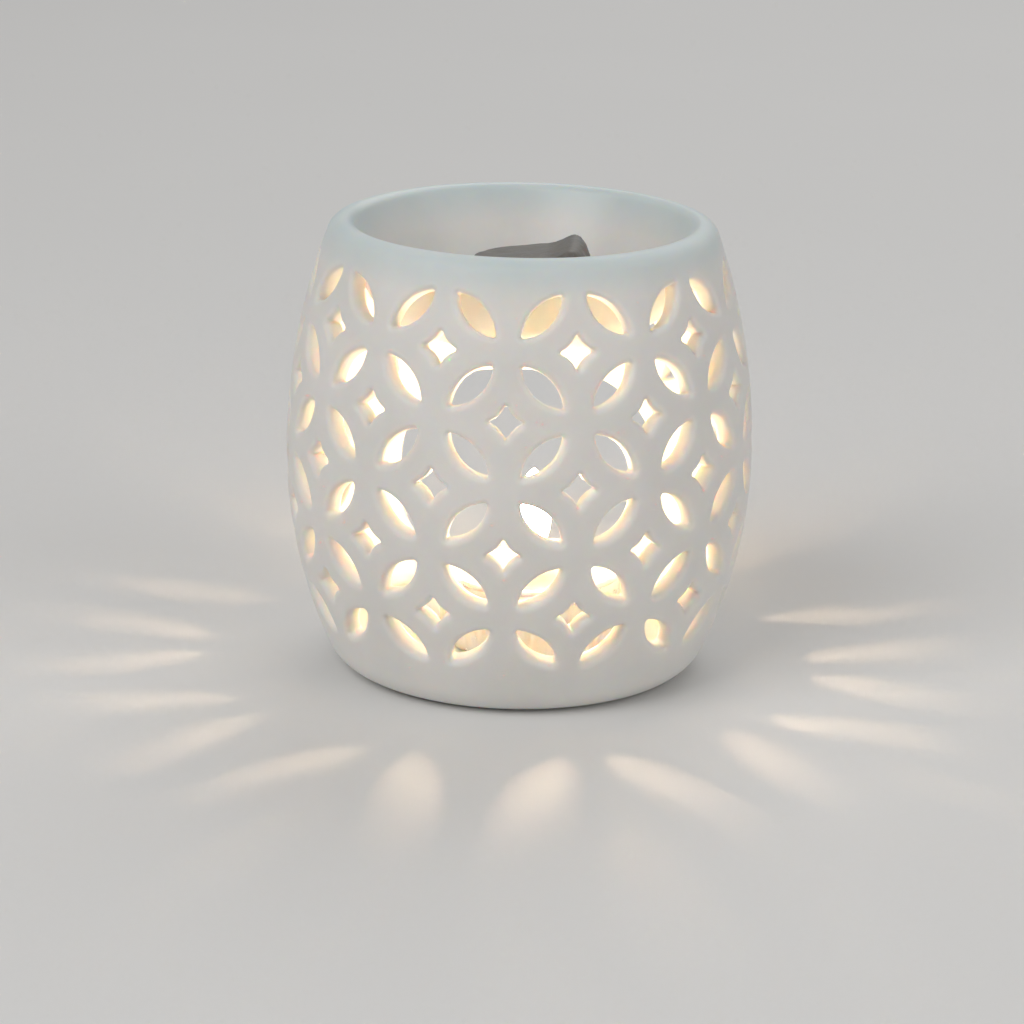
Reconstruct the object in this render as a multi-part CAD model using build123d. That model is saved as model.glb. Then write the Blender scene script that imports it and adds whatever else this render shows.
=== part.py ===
from build123d import *
from math import acos, asin, atan2, cos, hypot, radians, sin, sqrt, tan
import os

# Pierced ceramic oil burner with a tealight and a wax melt. Millimetres, base centre at the
# origin, +Z up, front towards -Y, tealight opening towards +Y.

# barrel
BODY_HEIGHT = 95.0
BODY_DIAMETER = 97.0
WIDEST_HEIGHT = 46.3
RIM_INSET = 11.8
FOOT_INSET = 17.05
FOOT_CORNER_RADIUS = 9.1
LIP_OUTER_RADIUS = 3.8
WALL = 4.0
FLOOR = 5.0
FLOOR_CORNER_RADIUS = 3.0
FOOT_RING_WIDTH = 6.0
FOOT_RECESS = 1.2

# piercing: rows of leaf holes at a slant, with four-pointed stars between them
LEAF_ROWS = 6
STARS_PER_ROW = 10
LOWEST_LEAF_HEIGHT = 16.4
TOP_LEAF_BELOW_RIM = 10.4
LEAF_LENGTH = 12.0
LEAF_WIDTH = 4.7
LEAF_SLANT = 45
STAR_SPAN = 7.4
STAR_WAIST = 4.4

# tealight opening at the back
OPENING_WIDTH = 56.0
OPENING_HEIGHT = 43.0
OPENING_CORNER_RADIUS = 18.5
ROUND_LIMIT_SHARE = 0.49
OPENING_SILL = 3.5
OPENING_BORDER = 10.0

# bowl
BOWL_DEPTH = 19.5
BOWL_WALL = 3.6
BOWL_FLOOR_INSET = 18.7
BOWL_CORNER_RADIUS = 12.5
LIP_INNER_RADIUS = 2.5

# tealight
CANDLE_OFFSET = 2.8
CUP_DIAMETER = 38.4
CUP_HEIGHT = 16.0
CUP_SHEET = 0.4
CUP_DRAFT = 2
CUP_CORNER_RADIUS = 1.6
RIM_BEAD_DIAMETER = 1.2
WAX_BELOW_RIM = 2.4
WAX_CLEARANCE = 0.05
WICK_DIAMETER = 1.8
WICK_ABOVE_WAX = 8.0
SUSTAINER_DIAMETER = 12.5
SUSTAINER_SHEET = 0.4
COLLAR_WALL = 0.5
COLLAR_HEIGHT = 3.5

# wax melt, its plan in shares of the bowl's flat floor
MELT_LENGTH_SHARE = 0.7
MELT_WIDTH_SHARE = 5 / 9
MELT_RIGHT_SHARE = 1 / 30
MELT_BACK_SHARE = 5 / 36
MELT_CORNER_SHARE = 0.3
MELT_LOW_HEIGHT = 10.2
MELT_HIGH_HEIGHT = 12.6
MELT_CREST_WIDTH = 5.0
MELT_CREST_RISE = 1.4
MELT_EDGE_RADIUS = 1.5

OVERRUN = 2.0

# derived sizes
MAX_RADIUS = BODY_DIAMETER / 2
RIM_RADIUS = MAX_RADIUS - RIM_INSET
FOOT_RADIUS = MAX_RADIUS - FOOT_INSET
LEAF_ROW_TOP = BODY_HEIGHT - TOP_LEAF_BELOW_RIM
ROW_PITCH = (LEAF_ROW_TOP - LOWEST_LEAF_HEIGHT) / (LEAF_ROWS - 1)
LEAVES_PER_ROW = 2 * STARS_PER_ROW
LEAF_STEP = 360 / LEAVES_PER_ROW
OPENING_MIDDLE = FLOOR + OPENING_SILL + OPENING_HEIGHT / 2
OPENING_ROUND = min(OPENING_CORNER_RADIUS, ROUND_LIMIT_SHARE * min(OPENING_WIDTH, OPENING_HEIGHT))
BOWL_FLOOR = BODY_HEIGHT - BOWL_DEPTH
BOWL_FLOOR_RADIUS = RIM_RADIUS - BOWL_FLOOR_INSET
CUP_RADIUS = CUP_DIAMETER / 2
WAX_TOP = CUP_HEIGHT - WAX_BELOW_RIM


def bulge_radius(end_radius, rise, corner):
    # side arc, upright at the widest height, that ends tangent to a corner centred at end_radius
    inward = MAX_RADIUS - end_radius
    return (inward**2 + rise**2 - corner**2) / (2 * (inward - corner))


UPPER_BULGE = bulge_radius(
    RIM_RADIUS, BODY_HEIGHT - LIP_OUTER_RADIUS - WIDEST_HEIGHT, LIP_OUTER_RADIUS
)
LOWER_BULGE = bulge_radius(FOOT_RADIUS, WIDEST_HEIGHT - FOOT_CORNER_RADIUS, FOOT_CORNER_RADIUS)
UPPER_CENTRE = (MAX_RADIUS - UPPER_BULGE, WIDEST_HEIGHT)
LOWER_CENTRE = (MAX_RADIUS - LOWER_BULGE, WIDEST_HEIGHT)


def side_radius(height):
    rise = height - WIDEST_HEIGHT
    if rise > 0:
        return UPPER_CENTRE[0] + sqrt(UPPER_BULGE**2 - rise**2)
    return LOWER_CENTRE[0] + sqrt(LOWER_BULGE**2 - rise**2)


def arc(centre, radius, start, end):
    # arc in the XZ plane between two points given as radius and height
    first = atan2(start[1] - centre[1], start[0] - centre[0])
    last = atan2(end[1] - centre[1], end[0] - centre[0])
    half = (first + last) / 2
    middle = (centre[0] + radius * cos(half), centre[1] + radius * sin(half))
    return ThreePointArc(*[(r, 0, z) for r, z in (start, middle, end)])


def line(start, end):
    return Line((start[0], 0, start[1]), (end[0], 0, end[1]))


def turned(edges):
    # solid turned about Z from a closed outline in the XZ plane
    return revolve(make_face(edges), Axis.Z)


def tangent_point(centre, radius, through):
    # where a side arc meets a corner arc centred at through
    lean = atan2(through[1] - centre[1], through[0] - centre[0])
    return (centre[0] + radius * cos(lean), centre[1] + radius * sin(lean))


def barrel():
    widest = (MAX_RADIUS, WIDEST_HEIGHT)
    widest_inside = (MAX_RADIUS - WALL, WIDEST_HEIGHT)
    inner_upper, inner_lower = UPPER_BULGE - WALL, LOWER_BULGE - WALL

    lip = (RIM_RADIUS, BODY_HEIGHT - LIP_OUTER_RADIUS)
    lip_side = tangent_point(UPPER_CENTRE, UPPER_BULGE, lip)
    ridge = (RIM_RADIUS, BODY_HEIGHT)
    seam_rise = sqrt(inner_upper**2 - (RIM_RADIUS - UPPER_CENTRE[0]) ** 2)
    seam = (RIM_RADIUS, WIDEST_HEIGHT + seam_rise)

    foot = (FOOT_RADIUS, FOOT_CORNER_RADIUS)
    foot_side = tangent_point(LOWER_CENTRE, LOWER_BULGE, foot)
    foot_inside = FOOT_RADIUS - FOOT_RING_WIDTH

    corner_drop = WIDEST_HEIGHT - FLOOR - FLOOR_CORNER_RADIUS
    corner_reach = sqrt((inner_lower - FLOOR_CORNER_RADIUS) ** 2 - corner_drop**2)
    corner = (LOWER_CENTRE[0] + corner_reach, FLOOR + FLOOR_CORNER_RADIUS)
    corner_side = tangent_point(LOWER_CENTRE, inner_lower, corner)
    return turned(
        [
            line((0, FOOT_RECESS), (foot_inside, FOOT_RECESS)),
            line((foot_inside, FOOT_RECESS), (foot_inside, 0)),
            line((foot_inside, 0), (FOOT_RADIUS, 0)),
            arc(foot, FOOT_CORNER_RADIUS, (FOOT_RADIUS, 0), foot_side),
            arc(LOWER_CENTRE, LOWER_BULGE, foot_side, widest),
            arc(UPPER_CENTRE, UPPER_BULGE, widest, lip_side),
            arc(lip, LIP_OUTER_RADIUS, lip_side, ridge),
            line(ridge, seam),
            arc(UPPER_CENTRE, inner_upper, seam, widest_inside),
            arc(LOWER_CENTRE, inner_lower, widest_inside, corner_side),
            arc(corner, FLOOR_CORNER_RADIUS, corner_side, (corner[0], FLOOR)),
            line((corner[0], FLOOR), (0, FLOOR)),
            line((0, FLOOR), (0, FOOT_RECESS)),
        ]
    )


def wall_plane(turn, height):
    # plane lying on the side at this turn from the front, X along the row and Z outwards
    radius = side_radius(height)
    bulge = UPPER_BULGE if height > WIDEST_HEIGHT else LOWER_BULGE
    lean = asin((height - WIDEST_HEIGHT) / bulge)
    across, away = sin(radians(turn)), -cos(radians(turn))
    return Plane(
        origin=(radius * across, radius * away, height),
        x_dir=(-away, across, 0),
        z_dir=(cos(lean) * across, cos(lean) * away, sin(lean)),
    )


def leaf_points(slant):
    along = Vector(LEAF_LENGTH / 2, 0).rotate(Axis.Z, slant)
    side = Vector(0, LEAF_WIDTH / 2).rotate(Axis.Z, slant)
    return [along, side, -along, -side]


def leaf(points):
    tip, side, other_tip, other_side = points
    return make_face(
        [ThreePointArc(tip, side, other_tip), ThreePointArc(other_tip, other_side, tip)]
    )


def star_points():
    reach = STAR_SPAN / 2
    return [Vector(reach, 0), Vector(0, reach), Vector(-reach, 0), Vector(0, -reach)]


def star(points):
    waist = STAR_WAIST / 2
    return make_face(
        [
            ThreePointArc(tip, (tip + after).normalized() * waist, after)
            for tip, after in zip(points, points[1:] + points[:1])
        ]
    )


def opening_distance(point):
    # how far a point on the back lies outside the tealight opening, seen along Y
    across = abs(point.X) - OPENING_WIDTH / 2 + OPENING_ROUND
    up = abs(point.Z - OPENING_MIDDLE) - OPENING_HEIGHT / 2 + OPENING_ROUND
    return hypot(max(across, 0), max(up, 0)) + min(max(across, up), 0) - OPENING_ROUND


def clear_of_opening(plane, points):
    places = [plane.from_local_coords(point) for point in points]
    return all(place.Y < 0 or opening_distance(place) > OPENING_BORDER for place in places)


def hole_layout():
    # every hole as its plane on the wall, its corner points and its kind
    holes = []
    for row in range(LEAF_ROWS):
        height = LEAF_ROW_TOP - row * ROW_PITCH
        for column in range(LEAVES_PER_ROW):
            slant = LEAF_SLANT if (row + column) % 2 == 0 else -LEAF_SLANT
            turn = (column + 1 / 2) * LEAF_STEP
            holes.append((wall_plane(turn, height), leaf_points(slant), leaf))
    for row in range(LEAF_ROWS - 1):
        height = LEAF_ROW_TOP - (row + 1 / 2) * ROW_PITCH
        for column in range(STARS_PER_ROW):
            turn = (2 * column + (row + 1) % 2) * LEAF_STEP
            holes.append((wall_plane(turn, height), star_points(), star))
    return [hole for hole in holes if clear_of_opening(hole[0], hole[1])]


def hole_cutters():
    depth = WALL + 2 * OVERRUN
    return [
        extrude(plane.offset(OVERRUN) * kind(points), -depth)
        for plane, points, kind in hole_layout()
    ]


def opening_cutter():
    plane = Plane(origin=(0, 0, OPENING_MIDDLE), x_dir=(-1, 0, 0), z_dir=(0, 1, 0))
    outline = RectangleRounded(OPENING_WIDTH, OPENING_HEIGHT, OPENING_ROUND)
    return extrude(plane * outline, MAX_RADIUS + OVERRUN)


def pierced_body():
    return barrel() - [opening_cutter()] - hole_cutters()


def oil_bowl():
    under = BOWL_FLOOR - BOWL_WALL
    flat = BOWL_FLOOR_RADIUS
    lip = (RIM_RADIUS, BODY_HEIGHT - LIP_INNER_RADIUS)
    corner = (flat, BOWL_FLOOR + BOWL_CORNER_RADIUS)

    # the straight side lies tangent to the lip and to the corner; inward points into the bowl
    reach, drop = lip[0] - corner[0], corner[1] - lip[1]
    turn = acos((LIP_INNER_RADIUS + BOWL_CORNER_RADIUS) / hypot(reach, drop))
    slope = atan2(drop, reach) + turn
    inward = (-cos(slope), sin(slope))

    def off(centre, distance):
        return (centre[0] + distance * inward[0], centre[1] + distance * inward[1])

    outer_corner = BOWL_CORNER_RADIUS + BOWL_WALL
    side_top, side_end = off(lip, LIP_INNER_RADIUS), off(corner, -BOWL_CORNER_RADIUS)
    outer_end = off(corner, -outer_corner)
    ridge = (RIM_RADIUS, BODY_HEIGHT)
    seam = (RIM_RADIUS, outer_end[1] + (RIM_RADIUS - outer_end[0]) / tan(slope))
    return turned(
        [
            line((0, BOWL_FLOOR), (flat, BOWL_FLOOR)),
            arc(corner, BOWL_CORNER_RADIUS, (flat, BOWL_FLOOR), side_end),
            line(side_end, side_top),
            arc(lip, LIP_INNER_RADIUS, side_top, ridge),
            line(ridge, seam),
            line(seam, outer_end),
            arc(corner, outer_corner, outer_end, (flat, under)),
            line((flat, under), (0, under)),
            line((0, under), (0, BOWL_FLOOR)),
        ]
    )


def at_candle(shape):
    return Pos(CANDLE_OFFSET, 0, FLOOR) * shape


def cup_turned(inset, base, top):
    # solid of the cup's outline, this far inside it, between two heights
    lean = tan(radians(CUP_DRAFT))

    def radius(height):
        return CUP_RADIUS - inset - (CUP_HEIGHT - height) * lean

    block = turned(
        [
            line((0, base), (radius(base), base)),
            line((radius(base), base), (radius(top), top)),
            line((radius(top), top), (0, top)),
            line((0, top), (0, base)),
        ]
    )
    lower_edge = block.edges().filter_by(GeomType.CIRCLE).sort_by(Axis.Z)[0]
    return fillet(lower_edge, CUP_CORNER_RADIUS - inset)


def tealight_cup():
    bead = RIM_BEAD_DIAMETER / 2
    ring = Pos(0, 0, CUP_HEIGHT - bead) * Torus(CUP_RADIUS, bead)
    shell = cup_turned(0, 0, CUP_HEIGHT - bead) + ring
    return at_candle(shell - cup_turned(CUP_SHEET, CUP_SHEET, CUP_HEIGHT + OVERRUN))


def upright(radius, height, base):
    # round bar standing on this height
    return Pos(0, 0, base) * Cylinder(radius, height, align=(Align.CENTER, Align.CENTER, Align.MIN))


def sustainer_solid(bore):
    collar = WICK_DIAMETER / 2 + WAX_CLEARANCE + COLLAR_WALL
    disc = upright(SUSTAINER_DIAMETER / 2, SUSTAINER_SHEET, CUP_SHEET)
    tube = upright(collar, COLLAR_HEIGHT, CUP_SHEET)
    return disc + tube - upright(bore, COLLAR_HEIGHT, CUP_SHEET + SUSTAINER_SHEET)


def wick_sustainer():
    return at_candle(sustainer_solid(WICK_DIAMETER / 2 + WAX_CLEARANCE))


def wick():
    base = CUP_SHEET + SUSTAINER_SHEET
    bar = upright(WICK_DIAMETER / 2, WAX_TOP + WICK_ABOVE_WAX - base, base)
    top_edge = bar.edges().filter_by(GeomType.CIRCLE).sort_by(Axis.Z)[-1]
    return at_candle(fillet(top_edge, WICK_DIAMETER / 4))


def candle_wax():
    block = cup_turned(CUP_SHEET + WAX_CLEARANCE, CUP_SHEET, WAX_TOP)
    room = upright(SUSTAINER_DIAMETER / 2 + WAX_CLEARANCE, SUSTAINER_SHEET, CUP_SHEET)
    collar = WICK_DIAMETER / 2 + COLLAR_WALL + 2 * WAX_CLEARANCE
    room += upright(collar, COLLAR_HEIGHT, CUP_SHEET)
    room += upright(WICK_DIAMETER / 2 + WAX_CLEARANCE, CUP_HEIGHT, CUP_SHEET)
    return at_candle(block - room)


def wax_melt():
    # chunk with a flat bottom, a sloping top and a raised crest at its right-hand end
    room = 2 * BOWL_FLOOR_RADIUS
    half, width = MELT_LENGTH_SHARE * room / 2, MELT_WIDTH_SHARE * room
    crest_start = half - MELT_CREST_WIDTH
    crest = (half - MELT_CREST_WIDTH / 2, MELT_HIGH_HEIGHT + MELT_CREST_RISE)
    side = Plane.XZ * make_face(
        [
            Line((-half, 0), (half, 0)),
            Line((half, 0), (half, MELT_HIGH_HEIGHT)),
            ThreePointArc((half, MELT_HIGH_HEIGHT), crest, (crest_start, MELT_HIGH_HEIGHT)),
            Line((crest_start, MELT_HIGH_HEIGHT), (-half, MELT_LOW_HEIGHT)),
            Line((-half, MELT_LOW_HEIGHT), (-half, 0)),
        ]
    )
    plan = RectangleRounded(2 * half, width, MELT_CORNER_SHARE * width)
    chunk = extrude(side, width / 2, both=True) & extrude(plan, crest[1] + OVERRUN)
    lower = chunk.edges().group_by(Axis.Z)[0]
    place = Pos(MELT_RIGHT_SHARE * room, MELT_BACK_SHARE * room, BOWL_FLOOR)
    return place * fillet(lower, MELT_EDGE_RADIUS)


PARTS = {
    "pierced_body": pierced_body,
    "oil_bowl": oil_bowl,
    "tealight_cup": tealight_cup,
    "candle_wax": candle_wax,
    "wick": wick,
    "wick_sustainer": wick_sustainer,
    "wax_melt": wax_melt,
}

os.makedirs("parts", exist_ok=True)
for name, make in PARTS.items():
    solid = make()
    export_step(solid, f"parts/{name}.step")
    print(name, [round(v, 2) for v in solid.bounding_box().size], round(solid.volume))
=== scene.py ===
from math import acos, atan2, cos, exp, hypot, pi, radians, sin, sqrt, tan
import bpy
from mathutils import Matrix, Vector, kdtree, noise
from mathutils.geometry import delaunay_2d_cdt


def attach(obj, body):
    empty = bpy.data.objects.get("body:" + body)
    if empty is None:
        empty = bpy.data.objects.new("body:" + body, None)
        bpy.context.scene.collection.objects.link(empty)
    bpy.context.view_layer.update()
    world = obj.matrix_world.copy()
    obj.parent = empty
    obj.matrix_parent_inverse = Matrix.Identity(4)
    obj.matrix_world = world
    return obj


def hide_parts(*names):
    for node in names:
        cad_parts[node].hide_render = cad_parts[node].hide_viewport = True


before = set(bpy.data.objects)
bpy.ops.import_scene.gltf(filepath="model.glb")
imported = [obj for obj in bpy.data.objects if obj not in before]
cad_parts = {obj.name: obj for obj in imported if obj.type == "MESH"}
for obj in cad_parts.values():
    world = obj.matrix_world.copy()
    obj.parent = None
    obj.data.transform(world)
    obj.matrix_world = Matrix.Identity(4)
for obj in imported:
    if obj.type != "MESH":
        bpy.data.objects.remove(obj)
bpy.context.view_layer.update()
mm = 0.001  # the sizes below are in millimetres
poleRadius = 1e-6  # a turned profile this close to the axis ends in one point

# ceramic barrel: two side arcs that meet upright at the widest height
barrel = {
    "height": 95.0, "radius": 48.5, "widestAt": 46.3, "rimRadius": 36.7, "footRadius": 31.45,
    "lipRound": 3.8, "footRound": 9.1, "wall": 4.0, "floorTop": 5.0, "floorRound": 3.0,
    "footRing": 6.0, "footRecess": 1.2, "recessInset": 0.8, "recessRound": 0.5, "ringEdge": 0.4,
    "columns": 200, "weld": 0.003,
}
widest, widestAt = barrel["radius"], barrel["widestAt"]  # radius and height of the widest place
bowl = {"depth": 19.5, "wall": 3.6, "floorRadius": 18.0, "cornerRound": 12.5, "lipRound": 2.5}
# a band is the flat strip of the face round a hole; the mean sizes are those of the pierced wall
piercing = {
    "leafRows": 6, "starsPerRow": 10, "lowestLeaf": 16.4, "highestLeaf": 84.6,
    "leafLength": 11.9, "leafWidth": 4.5, "leafSlant": 45.0, "leafTip": 0.5,
    "starSpan": 8.3, "starWaist": 4.1, "starTip": 0.35,
    "outerRound": 1.3, "innerRound": 0.7, "outerBand": 0.5, "innerBand": 0.4,
    "meanRadius": 46.0, "meanBulge": 115.0,
}
doorway = {
    "width": 56.0, "height": 43.0, "cornerRound": 18.5, "sill": 3.5, "border": 10.0,
    "outerRound": 1.0, "innerRound": 0.5, "outerBand": 0.6, "innerBand": 0.4,
}
# the web is the wall's skin between the holes, from a low level ring to a high one on each face
web = {
    "outerLow": 5.6, "outerHigh": 92.0, "innerLow": 4.8, "innerHigh": 91.0,
    "step": 2.1, "rowShare": 0.866, "gapShare": 0.55, "tolerance": 1e-7,
}


def bulgeRadius(endRadius, rise, corner):
    # radius of a side arc that is upright at the widest height and runs into the corner's rounding
    inward = widest - endRadius
    return (inward**2 + rise**2 - corner**2) / (2 * (inward - corner))


lipHeight = barrel["height"] - barrel["lipRound"]
bowlFloor = barrel["height"] - bowl["depth"]
doorMiddle = barrel["floorTop"] + doorway["sill"] + doorway["height"] / 2
upperBulge = bulgeRadius(barrel["rimRadius"], lipHeight - widestAt, barrel["lipRound"])
lowerBulge = bulgeRadius(barrel["footRadius"], widestAt - barrel["footRound"], barrel["footRound"])
upperCentre = (widest - upperBulge, widestAt)
lowerCentre = (widest - lowerBulge, widestAt)


def bulgeAt(height):
    return upperBulge if height > widestAt else lowerBulge


def sideRadius(height, depth=0.0):
    # radius of the outer face, or of the face this far inside the wall
    bulge = bulgeAt(height)
    rise = height - widestAt
    return widest - bulge + sqrt((bulge - depth) ** 2 - rise**2)


def sinLeanAt(height):
    return (height - widestAt) / bulgeAt(height)


def sidePoint(level, depth):
    # radius and height of a level of the flat sheet, once wrapped, this far inside the outer face
    bulge, sinLean = bulgeAt(level), sinLeanAt(level)
    reach = bulge - depth
    radial = widest - bulge + reach * sqrt(1 - sinLean**2)
    return (radial, widestAt + reach * sinLean)


def flattenPoint(x, y, z):
    # barrel to flat sheet: u runs round the widest girth, v is the height, w stands out of the face
    bulge = bulgeAt(z)
    away = hypot(x, y) - widest + bulge
    rise = z - widestAt
    reach = hypot(away, rise)
    return (widest * atan2(x, -y), widestAt + bulge * rise / reach, reach - bulge)


# small helpers for outlines and meshes
def arcPoints(centre, radius, first, last, steps):
    angles = [first + (last - first) * step / steps for step in range(steps + 1)]
    return [(centre[0] + radius * cos(a), centre[1] + radius * sin(a)) for a in angles]


def rotated(x, y, turn):
    return (x * cos(turn) - y * sin(turn), x * sin(turn) + y * cos(turn))


def linePoints(start, end, steps):
    return [
        (start[0] + (end[0] - start[0]) * step / steps, start[1] + (end[1] - start[1]) * step / steps)
        for step in range(steps + 1)
    ]


def roundedBox(width, height, corner, grow, cornerSteps, flatSteps):
    # box with rounded corners, grown outwards, anticlockwise from its right side
    across, up, reach = width / 2 - corner, height / 2 - corner, corner + grow
    spots = [(across, up), (-across, up), (-across, -up), (across, -up)]
    points = []
    for number, spot in enumerate(spots):
        start, end = number * pi / 2, (number + 1) * pi / 2
        points += arcPoints(spot, reach, start, end, cornerSteps)
        flat = linePoints(spot, spots[(number + 1) % 4], flatSteps[number % 2])[1:-1]
        points += [(x + reach * cos(end), y + reach * sin(end)) for x, y in flat]
    return points


def meshPiece(name, points, faces):
    mesh = bpy.data.meshes.new(name)
    mesh.from_pydata([tuple(c * mm for c in p) for p in points], [], faces)
    mesh.update()
    piece = bpy.data.objects.new(name, mesh)
    bpy.context.scene.collection.objects.link(piece)
    return piece


def markPoints(piece, label, values):
    marks = piece.data.attributes.new(label, "FLOAT", "POINT")
    marks.data.foreach_set("value", [float(value) for value in values])


def ringFaces(rings, count, start=0):
    # quads between neighbouring rings that have the same number of points
    faces = []
    for ring in range(rings - 1):
        for i in range(count):
            a, b = start + ring * count + i, start + ring * count + (i + 1) % count
            faces.append((a, b, b + count, a + count))
    return faces


def turnedFaces(profile, columns, points, faces, centre=(0.0, 0.0)):
    # adds a turned skin to points and faces; a profile end on the axis becomes one pole point
    rings = []
    for radius, height in profile:
        if radius < poleRadius:
            rings.append([len(points)] * columns)
            points.append((centre[0], centre[1], height))
            continue
        rings.append(range(len(points), len(points) + columns))
        for column in range(columns):
            turn = 2 * pi * column / columns
            points.append((centre[0] + radius * sin(turn), centre[1] - radius * cos(turn), height))
    for low, high in zip(rings, rings[1:]):
        for i in range(columns):
            j = (i + 1) % columns
            faces.append(list(dict.fromkeys((low[i], low[j], high[j], high[i]))))


# outline of one leaf hole, grown outwards, tips rounded
def leafOutline(grow):
    half, side, tip = piercing["leafLength"] / 2, piercing["leafWidth"] / 2, piercing["leafTip"]
    sideArc = (half**2 + side**2) / (2 * side)
    sideOff = sideArc - side
    tipAt = sqrt((sideArc - tip) ** 2 - sideOff**2)
    turn = atan2(sideOff, tipAt)
    points = []
    for flip in (0.0, pi):
        away = cos(flip)
        tipEnd, sideEnd = flip + turn, flip + pi - turn
        points += arcPoints((tipAt * away, 0), tip + grow, flip - turn, tipEnd, steps=5)[:-1]
        points += arcPoints((0, -sideOff * away), sideArc + grow, tipEnd, sideEnd, steps=9)[:-1]
    return points


# outline of one four-pointed star hole, its hollow sides struck from outside it
def starOutline(grow):
    reach, waist, tip = piercing["starSpan"] / 2, piercing["starWaist"] / 2, piercing["starTip"]
    away = (reach**2 - waist**2) / (sqrt(2) * reach - 2 * waist)
    hollow, centre = away - waist, away / sqrt(2)
    tipAt = centre - sqrt((hollow + tip) ** 2 - centre**2)
    turn = atan2(centre, centre - tipAt)
    quarter = arcPoints((tipAt, 0), tip + grow, -turn, turn, steps=5)[:-1]
    quarter += arcPoints((centre, centre), grow - hollow, turn, pi / 2 - turn, steps=3)[:-1]
    return [rotated(x, y, side * pi / 2) for side in range(4) for x, y in quarter]


leafSpan = (piercing["leafLength"] / 2, piercing["leafWidth"] / 2)
starSpan = (piercing["starSpan"] / 2, piercing["starSpan"] / 2)
leafRight, leafLeft, star = range(3)  # places in the list of kinds
holeKinds = [
    {"label": "Leaf right", "outline": leafOutline, "slant": piercing["leafSlant"], "span": leafSpan},
    {"label": "Leaf left", "outline": leafOutline, "slant": -piercing["leafSlant"], "span": leafSpan},
    {"label": "Star", "outline": starOutline, "slant": 0.0, "span": starSpan},
]


def holeRings():
    # rings of a hole from the outer face to the inner one: growth of the outline and depth
    outer, inner, wall = piercing["outerRound"], piercing["innerRound"], barrel["wall"]
    outerTurns = [pi / 2 * step / 4 for step in range(5)]
    innerTurns = [pi / 2 * step / 3 for step in range(4)]
    rings = [(outer + piercing["outerBand"], 0.0)]
    rings += [(outer * (1 - sin(a)), -outer * (1 - cos(a))) for a in outerTurns]
    rings += [(inner * (1 - cos(a)), inner * (1 - sin(a)) - wall) for a in innerTurns]
    return rings + [(inner + piercing["innerBand"], -wall)]


def ringOutline(kind, grow, depth):
    # widened with depth, so that the hole's walls stay parallel once the sheet is wrapped
    wide, tall = 1 + depth / piercing["meanRadius"], 1 + depth / piercing["meanBulge"]
    slanted = [rotated(x, y, radians(kind["slant"])) for x, y in kind["outline"](grow)]
    return [(x / wide, y / tall) for x, y in slanted]


def holeTile(kind):
    points, rings = [], holeRings()
    for grow, depth in rings:
        points += [(x, y, depth) for x, y in ringOutline(kind, grow, depth)]
    return meshPiece(kind["label"], points, ringFaces(len(rings), len(points) // len(rings)))


def outsideDoorway(x, z):
    # distance outside the doorway's outline, seen along Y
    across = abs(x) - doorway["width"] / 2 + doorway["cornerRound"]
    up = abs(z - doorMiddle) - doorway["height"] / 2 + doorway["cornerRound"]
    return hypot(max(across, 0), max(up, 0)) + min(max(across, up), 0) - doorway["cornerRound"]


def holeCorners(kind, turn, height):
    # the four corner points of a hole, laid on the wall's tangent plane
    reach, side = holeKinds[kind]["span"]
    slant, sinLean = radians(holeKinds[kind]["slant"]), sinLeanAt(height)
    out = Vector((sin(turn), -cos(turn), 0))
    along = Vector((cos(turn), sin(turn), 0))
    up = Vector((0, 0, sqrt(1 - sinLean**2))) - out * sinLean
    origin = out * sideRadius(height) + Vector((0, 0, height))
    for x, y in ((reach, 0), (0, side), (-reach, 0), (0, -side)):
        across, rise = rotated(x, y, slant)
        yield origin + along * across + up * rise


def holePlaces():
    # kind, turn and height of every hole that keeps clear of the doorway
    rows, stars = piercing["leafRows"], piercing["starsPerRow"]
    pitch = (piercing["highestLeaf"] - piercing["lowestLeaf"]) / (rows - 1)
    step = pi / stars
    places = []
    for row in range(rows):
        height = piercing["highestLeaf"] - row * pitch
        for column in range(2 * stars):
            kind = leafLeft if (row + column) % 2 else leafRight
            places.append((kind, (column + 0.5) * step, height))
        if row < rows - 1:
            for column in range(stars):
                places.append((star, (2 * column + (row + 1) % 2) * step, height - pitch / 2))

    def clear(corner):
        return corner.y < 0 or outsideDoorway(corner.x, corner.z) > doorway["border"]

    return [place for place in places if all(clear(corner) for corner in holeCorners(*place))]


def holeStretch(height):
    # keeps a hole its own size on the narrower and leaning parts of the barrel
    return (widest / sideRadius(height), sqrt(1 - sinLeanAt(height) ** 2))


def placedRing(place, grow, depth):
    kind, turn, height = place
    wide, tall = holeStretch(height)
    return [
        (turn * widest + wide * x, height + tall * y)
        for x, y in ringOutline(holeKinds[kind], grow, depth)
    ]


def doorwayOutline(grow):
    # x and z of the doorway's edge, anticlockwise seen from behind
    box = (doorway["width"], doorway["height"], doorway["cornerRound"], grow)
    return [(-x, doorMiddle + z) for x, z in roundedBox(*box, cornerSteps=16, flatSteps=(8, 3))]


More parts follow.
